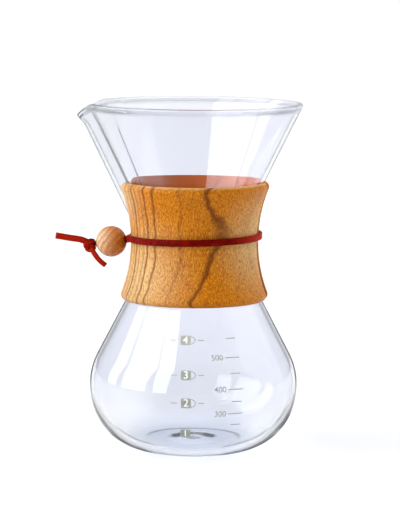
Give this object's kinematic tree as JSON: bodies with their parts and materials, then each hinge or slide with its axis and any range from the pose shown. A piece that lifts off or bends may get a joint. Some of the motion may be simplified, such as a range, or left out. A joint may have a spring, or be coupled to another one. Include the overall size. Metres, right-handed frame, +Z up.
{
  "type": "pour-over coffee maker",
  "caption": "Hourglass glass pour-over coffee maker with a pouring channel and a two-part wooden collar tied by a leather lace through a wooden bead.",
  "frame": {"origin": "centre of the flat underside of the glass, on the axis of the globe", "axes": "+Z up along the axis of the glass, -X towards the pouring channel and the bead, -Y to the front half of the collar"},
  "size_m": [0.1316, 0.1138, 0.1847],
  "materials": {
    "clear_glass": "polished borosilicate",
    "collar_wood": "oiled cherry",
    "bead_wood": "smooth, pale",
    "lace_leather": "waxed"
  },
  "bodies": {
    "carafe": {"glass_carafe": "clear_glass", "lace_bridge": "lace_leather"},
    "front_half": {"collar_half_front": "collar_wood", "lace_front_run": "lace_leather", "lace_stem": "lace_leather", "lace_knot": "lace_leather", "lace_long_tail": "lace_leather", "lace_short_tail": "lace_leather"},
    "back_half": {"collar_half_back": "collar_wood", "lace_back_run": "lace_leather"},
    "bead": {"bead": "bead_wood"}
  },
  "joints": [
    {"name": "front_half_open", "type": "hinge", "parent": "carafe", "child": "front_half", "pos_m": [0.0395, 0, 0.112], "axis": [0, 0, 1], "range_deg": [0, 60]},
    {"name": "back_half_open", "type": "hinge", "parent": "carafe", "child": "back_half", "pos_m": [0.0395, 0, 0.112], "axis": [0, 0, -1], "range_deg": [0, 60]},
    {"name": "bead_spin", "type": "hinge", "parent": "front_half", "child": "bead", "pos_m": [-0.0444, 0, 0.1103], "axis": [-0.9863, 0, -0.165], "continuous": true}
  ]
}
